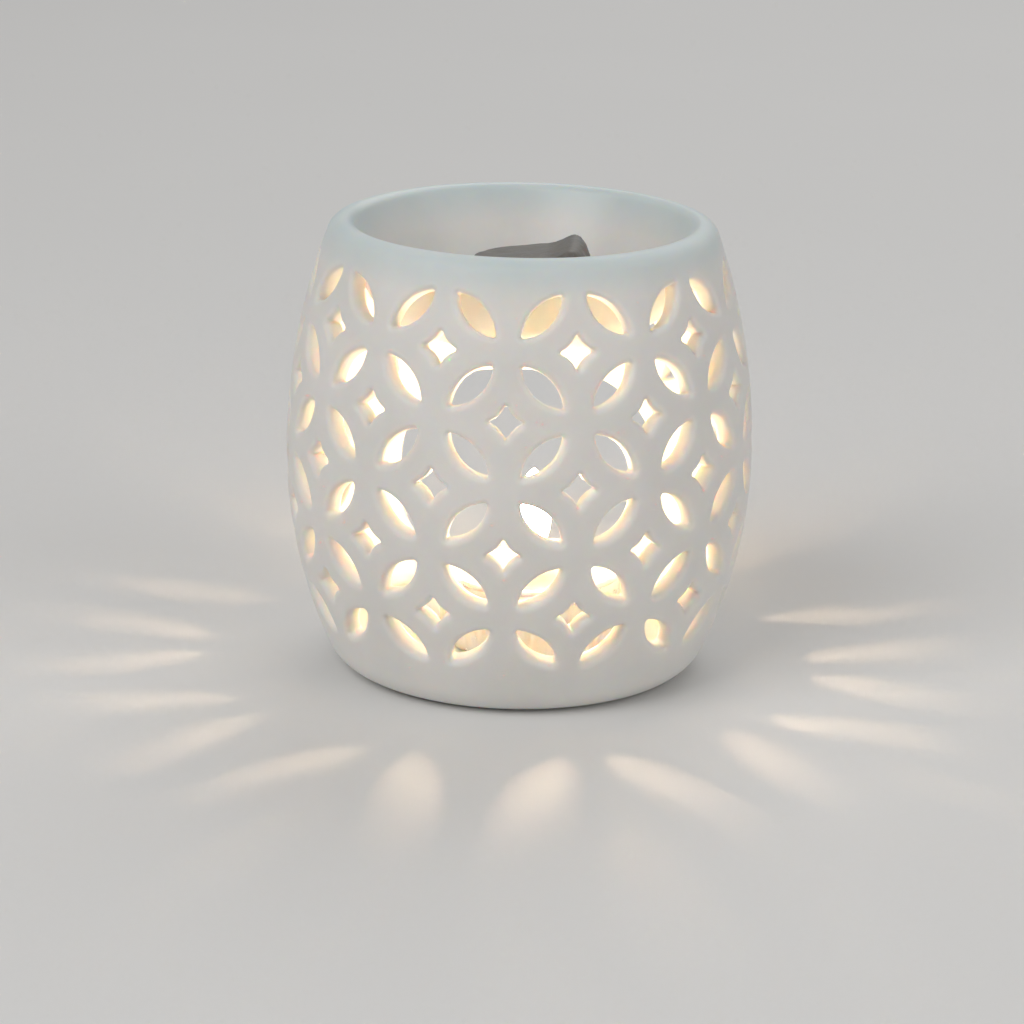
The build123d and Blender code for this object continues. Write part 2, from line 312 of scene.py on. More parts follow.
def doorwayRings():
    # the doorway's edge, rounded on both faces and cut straight along Y between them
    outer, inner, wall = doorway["outerRound"], doorway["innerRound"], barrel["wall"]

    def onFace(grow, depth):
        outline = doorwayOutline(grow)
        return [Vector((x, sqrt(sideRadius(z, depth) ** 2 - x * x), z)) for x, z in outline]

    def rounded(start, corner, end, steps):
        for step in range(steps + 1):
            t = step / steps
            yield [
                a * (1 - t) ** 2 + b * 2 * t * (1 - t) + c * t**2 for a, b, c in zip(start, corner, end)
            ]

    outerEdge, innerEdge = onFace(0, 0), onFace(0, wall)
    outerEnd = [p - Vector((0, outer, 0)) for p in outerEdge]
    innerStart = [p + Vector((0, inner, 0)) for p in innerEdge]
    rings = [onFace(outer + doorway["outerBand"], 0)]
    rings += rounded(onFace(outer, 0), outerEdge, outerEnd, steps=4)
    rings += rounded(innerStart, innerEdge, onFace(inner, wall), steps=3)
    rings.append(onFace(inner + doorway["innerBand"], wall))
    return [[flattenPoint(*p) for p in ring] for ring in rings]


def annulusPoint(u, v):
    # the sheet as a flat ring without a seam, its angles kept true
    reach, turn = exp(v / widest), u / widest
    return Vector((reach * cos(turn), reach * sin(turn)))


def insideLoop(point, loop):
    inside = False
    for a, b in zip(loop, loop[1:] + loop[:1]):
        if (a.y > point.y) != (b.y > point.y):
            if point.x < a.x + (point.y - a.y) * (b.x - a.x) / (b.y - a.y):
                inside = not inside
    return inside


def webSheet(holes, low, high):
    # triangles of the sheet between two level rings, round the hole loops
    noLoop, highRim = -1, 1  # owners of the points between the loops and of the high ring's
    columns, girth = barrel["columns"], 2 * pi * widest
    rims = [[(girth * i / columns, level) for i in range(columns)] for level in (low, high)]
    loops = rims + holes
    flat = [point for loop in loops for point in loop]
    owner = [number for number, loop in enumerate(loops) for _ in loop]
    ringLoops = [[annulusPoint(*p) for p in loop] for loop in loops]

    def onTube(u, v):
        turn = u / widest
        return (widest * cos(turn), widest * sin(turn), v)

    near = kdtree.KDTree(len(flat))
    for number, point in enumerate(flat):
        near.insert(onTube(*point), number)
    near.balance()

    edges, start = [], 0
    for loop in loops:
        edges += [(start + i, start + (i + 1) % len(loop)) for i in range(len(loop))]
        start += len(loop)

    # staggered rows of points fill the sheet, clear of the loops and outside the holes
    step, rowStep = web["step"], web["step"] * web["rowShare"]
    around = round(girth / step)
    for row in range(1, int((high - low) / rowStep)):
        for column in range(around):
            point = (girth * (column + row % 2 / 2) / around, low + row * rowStep)
            _, number, gap = near.find(onTube(*point))
            if gap <= web["gapShare"] * step:
                continue
            loop = owner[number]
            if loop < len(rims) or not insideLoop(annulusPoint(*point), ringLoops[loop]):
                flat.append(point)
                owner.append(noLoop)

    ringPoints = [annulusPoint(*p) for p in flat]
    _, _, triangles, origins, _, _ = delaunay_2d_cdt(ringPoints, edges, [], 0, web["tolerance"])
    kept = []
    for triangle in triangles:
        a, b, c = (origins[corner][0] for corner in triangle)
        if owner[a] == owner[b] == owner[c] and owner[a] not in (noLoop, highRim):
            middle = sum((ringPoints[i] for i in (a, b, c)), Vector((0, 0))) / 3
            if insideLoop(middle, ringLoops[owner[a]]):  # in a hole, or inside the low ring
                continue
        kept.append((a, b, c))
    return flat, kept


def webMesh(places, doorRings):
    points, faces, rings = [], [], holeRings()
    outerFace = (0, web["outerLow"], web["outerHigh"], 0.0)
    innerFace = (-1, web["innerLow"], web["innerHigh"], -barrel["wall"])
    for side, low, high, depth in (outerFace, innerFace):
        grow = rings[side][0]
        holes = [placedRing(place, grow, depth) for place in places]
        holes.append([(u, v) for u, v, _ in doorRings[side]])
        flat, triangles = webSheet(holes, low, high)
        start = len(points)
        points += [(u, v, depth) for u, v in flat]
        order = (0, 2, 1) if side == 0 else (0, 1, 2)
        faces += [tuple(start + triangle[i] for i in order) for triangle in triangles]
    faces += ringFaces(len(doorRings), len(doorRings[0]), len(points))
    points += [point for ring in doorRings for point in ring]
    return meshPiece("burner", points, faces)


# turned parts: lip, bowl, chamber floor and foot, on the same columns as the web's level rings
def towards(centre, point):
    return atan2(point[1] - centre[1], point[0] - centre[0])


def bowlSide():
    # arc centres of the bowl's lip and corner, and the lean of the straight side between them
    lipIn = (barrel["rimRadius"], barrel["height"] - bowl["lipRound"])
    corner = (bowl["floorRadius"], bowlFloor + bowl["cornerRound"])
    reach, drop = lipIn[0] - corner[0], corner[1] - lipIn[1]
    lean = atan2(drop, reach) + acos((bowl["lipRound"] + bowl["cornerRound"]) / hypot(reach, drop))
    return lipIn, corner, lean


def lipAndBowl():
    lipIn, corner, lean = bowlSide()
    inward = pi - lean  # direction square to the bowl's side, into the bowl
    lip = (barrel["rimRadius"], lipHeight)
    lipStart = towards(upperCentre, lip)
    profile = [sidePoint(web["outerHigh"], 0)]
    profile += arcPoints(lip, barrel["lipRound"], lipStart, pi / 2, steps=8)
    profile += arcPoints(lipIn, bowl["lipRound"], pi / 2, inward, steps=7)[1:]
    cornerArc = arcPoints(corner, bowl["cornerRound"], inward - pi, -pi / 2, steps=9)
    profile += linePoints(profile[-1], cornerArc[0], steps=7)[1:]
    profile += cornerArc[1:]
    return profile + linePoints(profile[-1], (0, bowlFloor), steps=8)[1:]


def bowlUnderside():
    _, corner, lean = bowlSide()
    bottom = bowlFloor - bowl["wall"]
    profile = linePoints((0, bottom), (corner[0], bottom), steps=6)
    profile += arcPoints(corner, bowl["cornerRound"] + bowl["wall"], -pi / 2, -lean, steps=9)[1:]
    wallTop = sidePoint(web["innerHigh"], barrel["wall"])
    seamFoot = profile[-1]
    seam = (seamFoot[0] + (wallTop[1] - seamFoot[1]) * tan(lean), wallTop[1])
    profile += linePoints(seamFoot, seam, steps=6)[1:]
    gap = (wallTop[0] - seam[0]) / 2  # the seam closes in a small round fillet
    return profile + arcPoints((seam[0] + gap, seam[1]), gap, pi, 0, steps=4)[1:-1] + [wallTop]


def chamberFloor():
    wall, floorTop, floorRound = barrel["wall"], barrel["floorTop"], barrel["floorRound"]
    fall = widestAt - floorTop - floorRound
    run = sqrt((lowerBulge - wall - floorRound) ** 2 - fall**2)
    corner = (lowerCentre[0] + run, floorTop + floorRound)
    cornerStart = towards(lowerCentre, corner)
    profile = [sidePoint(web["innerLow"], wall)]
    profile += arcPoints(corner, floorRound, cornerStart, -pi / 2, steps=5)
    return profile + linePoints((corner[0], floorTop), (0, floorTop), steps=8)[1:]


def footBottom():
    foot = (barrel["footRadius"], barrel["footRound"])
    footEnd = towards(lowerCentre, foot)
    ringIn, recess = barrel["footRadius"] - barrel["footRing"], barrel["footRecess"]
    turnDown, small, edge = ringIn - barrel["recessInset"], barrel["recessRound"], barrel["ringEdge"]
    profile = linePoints((0, recess), (turnDown, recess), steps=6)
    profile += arcPoints((turnDown, recess - small), small, pi / 2, 0, steps=3)[1:]
    profile += arcPoints((ringIn + edge, edge), small, pi, 3 * pi / 2, steps=3)
    profile = [(radius, max(height, 0.0)) for radius, height in profile]  # nothing below the base
    profile += arcPoints(foot, barrel["footRound"], -pi / 2, footEnd, steps=10)
    return profile + [sidePoint(web["outerLow"], 0)]


def turnedParts():
    points, faces = [], []
    turnedFaces(lipAndBowl(), barrel["columns"], points, faces)
    inBowl = len(points)
    for profile in (bowlUnderside(), chamberFloor(), footBottom()):
        turnedFaces(profile, barrel["columns"], points, faces)
    piece = meshPiece("turnedParts", points, faces)
    rim = barrel["rimRadius"]
    markPoints(piece, "glazed", [n < inBowl and hypot(x, y) < rim for n, (x, y, _) in enumerate(points)])
    return piece


# small helpers for node trees
def newTree(name, inputs):
    tree = bpy.data.node_groups.new(name, "GeometryNodeTree")
    sockets = {}
    tree.interface.new_socket("Geometry", in_out="INPUT", socket_type="NodeSocketGeometry")
    for label, kind in inputs.items():
        sockets[label] = tree.interface.new_socket(label, in_out="INPUT", socket_type=kind).identifier
    tree.interface.new_socket("Geometry", in_out="OUTPUT", socket_type="NodeSocketGeometry")
    return tree, sockets, tree.nodes.new("NodeGroupInput"), tree.nodes.new("NodeGroupOutput")


def addNode(tree, kind, inputs=(), **settings):
    node = tree.nodes.new(kind)
    for key, value in settings.items():
        setattr(node, key, value)
    for key, value in dict(inputs).items():
        if isinstance(value, bpy.types.NodeSocket):
            tree.links.new(value, node.inputs[key])
        else:
            node.inputs[key].default_value = value
    return node


def wired(tree, kind, inputs=(), **settings):
    return addNode(tree, kind, inputs, **settings).outputs[0]


def calc(tree, operation, *terms):
    return wired(tree, "ShaderNodeMath", enumerate(terms), operation=operation)


def joined(tree, *parts):
    join = tree.nodes.new("GeometryNodeJoinGeometry")
    for part in reversed(parts):
        tree.links.new(part, join.inputs[0])
    return join.outputs[0]


def stored(tree, name, kind):
    return wired(tree, "GeometryNodeInputNamedAttribute", {"Name": name}, data_type=kind)


def endTree(tree, result, geometry, material):
    # smooth shading, real geometry and the material, as every tree ends
    smooth = wired(tree, "GeometryNodeSetShadeSmooth", {"Geometry": geometry})
    plain = wired(tree, "GeometryNodeRealizeInstances", {0: smooth})
    painted = wired(tree, "GeometryNodeSetMaterial", {"Geometry": plain, "Material": material})
    tree.links.new(painted, result.inputs[0])


def bakeNodes(piece, built, values):
    # runs the tree on the piece and keeps the result as a plain mesh
    tree, sockets = built
    modifier = piece.modifiers.new(tree.name, "NODES")
    modifier.node_group = tree
    for label, value in values.items():
        modifier[sockets[label]] = value
    graph = bpy.context.evaluated_depsgraph_get()
    plain = bpy.data.meshes.new_from_object(piece.evaluated_get(graph))
    piece.modifiers.remove(modifier)
    piece.data = plain
    plain.name = piece.name


def piercedTree():
    # holes are set on the flat sheet, then sheet and holes are wrapped to the barrel together
    kinds = [kind["label"] for kind in holeKinds]
    sizes = ("Widest radius", "Widest height", "Upper bulge", "Lower bulge", "Weld distance")
    tree, sockets, given, result = newTree("piercedBarrel", {
        **dict.fromkeys(("Hole places", *kinds, "Turned parts"), "NodeSocketObject"),
        **dict.fromkeys(sizes, "NodeSocketFloat"), "Ceramic": "NodeSocketMaterial",
    })
    inputs = given.outputs

    def objectMesh(label):
        return addNode(tree, "GeometryNodeObjectInfo", {"Object": inputs[label]}).outputs["Geometry"]

    holes = []
    for number, label in enumerate(kinds):
        chosen = wired(
            tree, "FunctionNodeCompare", {2: stored(tree, "holeKind", "INT"), 3: number},
            data_type="INT", operation="EQUAL",
        )
        holes.append(wired(tree, "GeometryNodeInstanceOnPoints", {
            "Points": objectMesh("Hole places"), "Selection": chosen,
            "Instance": objectMesh(label), "Scale": stored(tree, "holeStretch", "FLOAT_VECTOR"),
        }))
    tiles = wired(tree, "GeometryNodeRealizeInstances", {0: joined(tree, *holes)})
    sheet = joined(tree, inputs["Geometry"], tiles)

    # flat sheet to barrel, the other way round than flattenPoint
    place = wired(tree, "GeometryNodeInputPosition")
    u, v, w = addNode(tree, "ShaderNodeSeparateXYZ", {0: place}).outputs
    turn = calc(tree, "DIVIDE", u, inputs["Widest radius"])
    rise = calc(tree, "SUBTRACT", v, inputs["Widest height"])
    bulge = wired(tree, "GeometryNodeSwitch", {
        0: calc(tree, "GREATER_THAN", rise, 0.0), 1: inputs["Lower bulge"], 2: inputs["Upper bulge"],
    }, input_type="FLOAT")
    sinLean = calc(tree, "DIVIDE", rise, bulge)
    cosLean = calc(tree, "SQRT", calc(tree, "SUBTRACT", 1.0, calc(tree, "MULTIPLY", sinLean, sinLean)))
    reach = calc(tree, "ADD", bulge, w)
    radial = calc(tree, "ADD", calc(tree, "SUBTRACT", inputs["Widest radius"], bulge),
                  calc(tree, "MULTIPLY", reach, cosLean))
    wrapped = wired(tree, "ShaderNodeCombineXYZ", {
        0: calc(tree, "MULTIPLY", radial, calc(tree, "SINE", turn)),
        1: calc(tree, "MULTIPLY", calc(tree, "MULTIPLY", radial, calc(tree, "COSINE", turn)), -1.0),
        2: calc(tree, "ADD", inputs["Widest height"], calc(tree, "MULTIPLY", reach, sinLean)),
    })
    skin = wired(tree, "GeometryNodeSetPosition", {"Geometry": sheet, "Position": wrapped})
    whole = joined(tree, skin, objectMesh("Turned parts"))
    weld = {"Geometry": whole, "Distance": inputs["Weld distance"]}
    welded = wired(tree, "GeometryNodeMergeByDistance", weld)
    endTree(tree, result, welded, inputs["Ceramic"])
    return tree, sockets


# small helpers for materials
midNoise = (0.3, 0.7)  # where most values of a noise lie


def newMaterial(name, look=(), **constants):
    material = bpy.data.materials.new(name)
    material.use_nodes = True
    tree = material.node_tree
    shader = tree.nodes["Principled BSDF"]
    if "translucence" in look:
        constants["Subsurface_Weight"] = look["translucence"]
        constants["Subsurface_Scale"] = look["lightDepth"] * mm
        constants["Subsurface_Radius"] = look["lightSpread"]
    for label, value in constants.items():
        shader.inputs[label.replace("_", " ")].default_value = value
    return material, tree, shader, addNode(tree, "ShaderNodeTexCoord").outputs["Object"]


def heightOf(tree, coords):
    return addNode(tree, "ShaderNodeSeparateXYZ", {0: coords}).outputs["Z"]


def attributeOf(tree, name):
    return addNode(tree, "ShaderNodeAttribute", attribute_name=name).outputs["Fac"]


def noiseOf(tree, coords, scale, detail=3.0, roughness=0.5):
    return addNode(tree, "ShaderNodeTexNoise", {
        "Vector": coords, "Scale": scale, "Detail": detail, "Roughness": roughness,
    }).outputs["Fac"]


def ranged(tree, value, source, target=(0.0, 1.0)):
    return wired(tree, "ShaderNodeMapRange", enumerate((value, *source, *target)))


def mixed(tree, share, first, second):
    mix = tree.nodes.new("ShaderNodeMix")
    mix.data_type = "RGBA"
    tree.links.new(share, mix.inputs["Factor"])
    for socket, colour in ((mix.inputs[6], first), (mix.inputs[7], second)):
        if isinstance(colour, bpy.types.NodeSocket):
            tree.links.new(colour, socket)
        else:
            socket.default_value = (*colour, 1.0)
    return mix.outputs[2]


def finishSkin(tree, shader, look, colour, relief, roughness=None):
    # colour, fine relief and, where it isn't one number, roughness of a finish
    tree.links.new(colour, shader.inputs["Base Color"])
    if roughness is not None:
        tree.links.new(roughness, shader.inputs["Roughness"])
    bump = wired(tree, "ShaderNodeBump", {
        "Height": relief, "Strength": look["bumpStrength"], "Distance": look["bumpDepth"] * mm,
    })
    tree.links.new(bump, shader.inputs["Normal"])


ceramicLook = {
    "white": (0.80, 0.787, 0.76), "shade": (0.75, 0.736, 0.706), "shadeNoise": (0.35, 0.7),
    # the lip tint and its heights are painted light, a cool cast of ambient light, not a colour of the
    # ceramic
    "paintedLipLight": (0.50, 0.66, 0.70), "paintedLightLow": 87.5, "paintedLightHigh": 94.5, "paintedLightShare": 0.55,
    "paintedLightUneven": (0.8, 1.0), "mottleScale": 45.0, "grainScale": 1900.0, "rippleScale": 160.0,
    "grainShare": 0.35, "roughness": (0.62, 0.5), "glazeSmoothing": 0.22, "specular": 0.4,
    "translucence": 1.0, "lightDepth": 2.0, "lightSpread": (1.0, 0.7, 0.45),
    "bumpStrength": 0.12, "bumpDepth": 0.6,
}


def ceramicMaterial():
    look = ceramicLook
    material, tree, shader, coords = newMaterial(
        "matt white ceramic", look, Specular_IOR_Level=look["specular"]
    )
    mottle = noiseOf(tree, coords, look["mottleScale"], detail=4.0, roughness=0.6)
    grain = noiseOf(tree, coords, look["grainScale"], detail=2.0, roughness=0.6)
    ripple = noiseOf(tree, coords, look["rippleScale"], detail=2.0)
    body = mixed(tree, ranged(tree, mottle, look["shadeNoise"]), look["white"], look["shade"])
    # painted light: a faint cool blue-grey tint at the lip stands in for bluish ambient light falling on
    # the white ceramic
    paintedLightSpan = (look["paintedLightLow"] * mm, look["paintedLightHigh"] * mm)
    paintedLightAtLip = ranged(tree, heightOf(tree, coords), paintedLightSpan, (0.0, look["paintedLightShare"]))
    paintedCoolLight = calc(tree, "MULTIPLY", paintedLightAtLip, ranged(tree, mottle, midNoise, look["paintedLightUneven"]))
    glaze = calc(tree, "MULTIPLY", attributeOf(tree, "glazed"), look["glazeSmoothing"])
    rough = calc(tree, "SUBTRACT", ranged(tree, mottle, midNoise, look["roughness"]), glaze)
    relief = calc(tree, "ADD", calc(tree, "MULTIPLY", grain, look["grainShare"]), ripple)
    finishSkin(tree, shader, look, mixed(tree, paintedCoolLight, body, look["paintedLipLight"]), relief, rough)
    return material


places = holePlaces()
holePoints = meshPiece("holePlaces", [(turn * widest, z, 0) for _, turn, z in places], [])
kindNumbers = holePoints.data.attributes.new("holeKind", "INT", "POINT")
kindNumbers.data.foreach_set("value", [kind for kind, _, _ in places])
stretches = holePoints.data.attributes.new("holeStretch", "FLOAT_VECTOR", "POINT")
stretches.data.foreach_set("vector", [c for _, _, z in places for c in (*holeStretch(z), 1.0)])
tiles = {kind["label"]: holeTile(kind) for kind in holeKinds}
turned = turnedParts()
burner = webMesh(places, doorwayRings())
print("burner: web and", len(places), "holes laid out")

bakeNodes(burner, piercedTree(), {
    "Hole places": holePoints, **tiles, "Turned parts": turned,
    "Widest radius": widest * mm, "Widest height": widestAt * mm,
    "Upper bulge": upperBulge * mm, "Lower bulge": lowerBulge * mm,
    "Weld distance": barrel["weld"] * mm, "Ceramic": ceramicMaterial(),
})
for helper in (holePoints, turned, *tiles.values()):
    bpy.data.objects.remove(helper)
for label in ("holeKind", "holeStretch"):
    burner.data.attributes.remove(burner.data.attributes[label])
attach(burner, "burner")
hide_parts("pierced_body", "oil_bowl")
print("burner: pierced and wrapped,", len(burner.data.vertices), "points")

# tealight on the chamber floor, a little right of the middle; its heights count from its base
candle = {
    "offset": 2.8, "base": 5.0, "cupRadius": 19.2, "cupHeight": 16.0, "sheet": 0.4, "draft": 2.0,
    "cornerRound": 1.6, "bead": 0.6, "flutes": 44, "fluteDepth": 0.2, "fluteFade": 6.0, "columns": 224,
    "beadTuck": (0.5, 0.2),  # turns by which the rolled rim's ends pass below and inside
}
candleAt = (candle["offset"], 0.0)
cupLean = tan(radians(candle["draft"]))


def smoothShade(piece, material):
    piece.data.materials.append(material)
    piece.data.polygons.foreach_set("use_smooth", [True] * len(piece.data.polygons))
    return piece


def cupSide(height, inset):
    return candle["cupRadius"] - inset - (candle["cupHeight"] - height) * cupLean


def flutedCup():
    radius, tall, sheet = candle["cupRadius"], candle["cupHeight"], candle["sheet"]
    base, corner, bead = candle["base"], candle["cornerRound"], candle["bead"]
    tuckUnder, tuckIn = candle["beadTuck"]
    flat = cupSide(0, 0) - corner  # radius of the flat bottom
    neck = tall - 2 * bead  # height where the rolled rim starts
    profile = linePoints((0, 0), (flat, 0), steps=4)
    profile += arcPoints((flat, corner), corner, -pi / 2, 0, steps=5)[1:]
    profile += linePoints((cupSide(corner, 0), corner), (cupSide(neck, 0), neck), steps=10)[1:]
    profile += arcPoints((radius, tall - bead), bead, -pi / 2 - tuckUnder, pi + tuckIn, steps=12)
    profile += linePoints((cupSide(neck, sheet), neck), (cupSide(corner, sheet), corner), steps=8)
    profile += arcPoints((flat, corner), corner - sheet, 0, -pi / 2, steps=5)[1:]
    profile += linePoints((flat, sheet), (0, sheet), steps=4)[1:]
    points, faces = [], []
    turnedFaces([(r, z + base) for r, z in profile], candle["columns"], points, faces, candleAt)
    piece = meshPiece("tealightCup", points, faces)

    def fluted(x, y, z):  # the flutes fade out towards the corner and the rim
        rise = (z - base - corner) / (neck - bead - corner)
        onSide = hypot(x - candleAt[0], y) > flat and 0 < rise < 1
        return min(1.0, candle["fluteFade"] * rise, candle["fluteFade"] * (1 - rise)) if onSide else 0.0

    markPoints(piece, "fluted", [fluted(*point) for point in points])
    return piece


def flutedTree():
    # presses upright flutes into the side of the cup
    tree, sockets, given, result = newTree("flutedCup", {
        "Centre": "NodeSocketVector", "Flute count": "NodeSocketInt", "Flute depth": "NodeSocketFloat",
        "Foil": "NodeSocketMaterial",
    })
    inputs = given.outputs
    place = wired(tree, "GeometryNodeInputPosition")
    away = wired(tree, "ShaderNodeVectorMath", {0: place, 1: inputs["Centre"]}, operation="SUBTRACT")
    x, y, _ = addNode(tree, "ShaderNodeSeparateXYZ", {0: away}).outputs
    turn = calc(tree, "ARCTAN2", y, x)
    wave = calc(tree, "COSINE", calc(tree, "MULTIPLY", turn, inputs["Flute count"]))
    push = calc(tree, "MULTIPLY", calc(tree, "MULTIPLY", wave, inputs["Flute depth"]),
                stored(tree, "fluted", "FLOAT"))
    outward = wired(tree, "ShaderNodeCombineXYZ", {
        0: calc(tree, "COSINE", turn), 1: calc(tree, "SINE", turn),
    })
    offset = wired(tree, "ShaderNodeVectorMath", {0: outward, "Scale": push}, operation="SCALE")
    moved = {"Geometry": inputs["Geometry"], "Offset": offset}
    pressed = wired(tree, "GeometryNodeSetPosition", moved)
    endTree(tree, result, pressed, inputs["Foil"])
    return tree, sockets


cupLook = {
    "tones": ((0.78, 0.78, 0.79), (0.85, 0.85, 0.86)), "toneScale": 320.0, "toneDetail": 3.0,
    "dentScale": 180.0, "dentDetail": 2.0, "roughness": (0.26, 0.36),
    "bumpStrength": 0.15, "bumpDepth": 0.4,
}
sustainerLook = {
    "tones": ((0.55, 0.55, 0.56), (0.72, 0.72, 0.72)), "toneScale": 500.0, "toneDetail": 4.0,
    "dentScale": 500.0, "dentDetail": 4.0, "roughness": (0.28, 0.45),
    "bumpStrength": 0.15, "bumpDepth": 0.2,
}


def metalMaterial(name, look):
    material, tree, shader, coords = newMaterial(name, Metallic=1.0)
    dulled = noiseOf(tree, coords, look["toneScale"], look["toneDetail"])
    dents = noiseOf(tree, coords, look["dentScale"], look["dentDetail"])
    rough = ranged(tree, dulled, midNoise, look["roughness"])
    finishSkin(tree, shader, look, mixed(tree, dulled, *look["tones"]), dents, rough)
    return material


# corner and climb step in from the cup's side, the shore out from the pool's edge
waxShape = {
    "top": 13.6, "clearance": 0.06, "columns": 96, "wetEdge": 0.3,
    "corner": ((0.5, 0.9), (0.0, 1.8)),  # step in, height
    "climb": ((0.0, 0.3), (0.03, 0.0), (0.5, 0.32), (1.3, 0.5)),  # step in, depth below the top
    "shore": ((0.8, 0.6), (0.2, 0.72), (-0.4, 0.86)),  # step out, depth
    "poolRadius": 14.0, "poolRings": (12.6, 11.0, 9.0, 7.0, 5.0, 3.0), "poolDepth": 0.9,
    "collar": ((1.8, 0.82), (1.2, 0.55), (1.0, 0.35), (0.0, 0.35)),  # radius, depth round the wick
}


def waxDisc():
    # wax that climbs the cup a little, with a molten pool round the wick
    base, top, pool = candle["base"], waxShape["top"], waxShape["poolRadius"]
    gap = candle["sheet"] + waxShape["clearance"]
    edge, foot = cupSide(top, gap), cupSide(candle["cornerRound"], gap)
    profile = [(0, gap), (foot - candle["cornerRound"], gap)]
    profile += [(foot - inward, height) for inward, height in waxShape["corner"]]
    profile += [(edge - inward, top - depth) for inward, depth in waxShape["climb"]]
    profile += [(pool + outward, top - depth) for outward, depth in waxShape["shore"]]
    profile += [(radius, top - waxShape["poolDepth"]) for radius in waxShape["poolRings"]]
    profile += [(radius, top - depth) for radius, depth in waxShape["collar"]]
    points, faces = [], []
    turnedFaces([(r, z + base) for r, z in profile], waxShape["columns"], points, faces, candleAt)
    piece = meshPiece("tealightWax", points, faces)
    wet = pool + waxShape["wetEdge"]
    molten = [z > base + top / 2 and hypot(x - candleAt[0], y) < wet for x, y, z in points]
    markPoints(piece, "molten", molten)
    return piece


paraffinLook = {
    "wax": ((0.84, 0.81, 0.73), (0.90, 0.88, 0.82)), "molten": (0.80, 0.74, 0.60),
    "cloudScale": 260.0, "grainScale": 900.0, "roughness": (0.5, 0.1),
    "translucence": 0.5, "lightDepth": 4.0, "lightSpread": (1.0, 0.8, 0.55),
    "bumpStrength": 0.25, "bumpDepth": 0.4,
}


def paraffinMaterial():
    look = paraffinLook
    material, tree, shader, coords = newMaterial("white paraffin", look)
    molten = attributeOf(tree, "molten")
    cloud = noiseOf(tree, coords, look["cloudScale"], detail=4.0)
    colour = mixed(tree, molten, mixed(tree, cloud, *look["wax"]), look["molten"])
    rough = ranged(tree, molten, (0.0, 1.0), look["roughness"])
    grain = noiseOf(tree, coords, look["grainScale"])
    relief = calc(tree, "MULTIPLY", grain, calc(tree, "SUBTRACT", 1.0, molten))  # none on the pool
    finishSkin(tree, shader, look, colour, relief, rough)
    return material


# foot and top are heights, bendFrom and frayFrom shares of the wick's length
wickShape = {
    "radius": 0.9, "foot": 0.9, "top": 21.6, "tipRise": 0.15, "bend": 0.9, "bendFrom": 0.6,
    "frayFrom": 0.97, "frayShare": 0.75, "strands": 3, "strandDepth": 0.14, "braidTwist": 1.7,
    "rows": 64, "columns": 24,
}


def braidedWick():
    # three strands that cross round each other, bent over at the top
    rows, columns, depth = wickShape["rows"], wickShape["columns"], wickShape["strandDepth"]
    low, high = candle["base"] + wickShape["foot"], candle["base"] + wickShape["top"]
    bendFrom = wickShape["bendFrom"]
    points = []
    for row in range(rows + 1):
        share = row / rows
        height = low + (high - low) * share
        lean = wickShape["bend"] * max(0.0, (share - bendFrom) / (1 - bendFrom)) ** 2
        fray = 1.0 if share < wickShape["frayFrom"] else wickShape["frayShare"]
        twist = height * wickShape["braidTwist"]
        for column in range(columns):
            turn = 2 * pi * column / columns
            strand = max(cos(wickShape["strands"] * turn + side * twist) for side in (1, -1))
            reach = wickShape["radius"] * fray * (1 - depth + depth * strand)
            points.append((candleAt[0] + lean + reach * sin(turn), -reach * cos(turn), height))
    faces = ringFaces(rows + 1, columns)
    ends = ((0, low, True), (rows * columns, high + wickShape["tipRise"], False))
    for start, height, flipped in ends:
        middle = sum(x for x, _, _ in points[start:start + columns]) / columns
        points.append((middle, 0.0, height))
        for i in range(columns):
            pair = (start + i, start + (i + 1) % columns)
            faces.append((len(points) - 1, *(reversed(pair) if flipped else pair)))
    return meshPiece("tealightWick", points, faces)


# charring starts and ends at heights over the base of the burner
wickLook = {
    "cotton": ((0.42, 0.36, 0.26), (0.66, 0.60, 0.48)), "char": (0.018, 0.015, 0.013),
    "charLow": 19.5, "charHigh": 23.5, "charRagged": 3.0, "fibreScale": 2600.0, "roughness": 0.9,
    "bumpStrength": 0.5, "bumpDepth": 0.3,
}


def wickMaterial():
    # waxed cotton, charred at the top
    look = wickLook
    material, tree, shader, coords = newMaterial("charred cotton", Roughness=look["roughness"])
    fibres = noiseOf(tree, coords, look["fibreScale"], detail=4.0)
    ragged = calc(tree, "MULTIPLY", fibres, look["charRagged"] * mm)
    charSpan = (look["charLow"] * mm, look["charHigh"] * mm)
    charring = ranged(tree, calc(tree, "ADD", heightOf(tree, coords), ragged), charSpan)
    colour = mixed(tree, charring, mixed(tree, fibres, *look["cotton"]), look["char"])
    finishSkin(tree, shader, look, colour, fibres)
    return material


# low, high and leanFrom are heights over the base of the burner; stops go up the flame
flame = {
    "low": 21.8, "high": 41.9, "radius": 4.1, "bellyPower": 0.86, "footPower": 0.95, "powerDrop": 0.28,
    "lean": 0.5, "leanFrom": 27.0, "leanOver": 16.0, "rows": 26, "columns": 32,
    "strength": 260.0, "footGlow": 0.03, "glowRise": (0.25, 0.6), "flicker": 2.0, "flickerScale": 180.0,
    "stops": (
        (0.0, (0.10, 0.16, 0.45)), (0.2, (0.45, 0.35, 0.30)), (0.4, (1.0, 0.76, 0.48)),
        (0.85, (1.0, 0.76, 0.48)), (1.0, (1.0, 0.6, 0.28)),
    ),
}


def flameDrop():
    # slim foot, blunt tip, leaning with the wick
    low, tall, rows = flame["low"], flame["high"] - flame["low"], flame["rows"]
    profile = [(0, low)]
    for row in range(1, rows):
        share = row / rows
        power = flame["footPower"] - flame["powerDrop"] * share
        swell = sin(pi * share ** flame["bellyPower"]) ** power
        profile.append((flame["radius"] * swell, low + tall * share))
    profile.append((0, flame["high"]))
    upright, faces = [], []
    turnedFaces(profile, flame["columns"], upright, faces, candleAt)
    points = []
    for x, y, z in upright:
        above = max(0, (z - flame["leanFrom"]) / flame["leanOver"])
        points.append((x + flame["lean"] * above**2, y, z))
    return meshPiece("tealightFlame", points, faces)


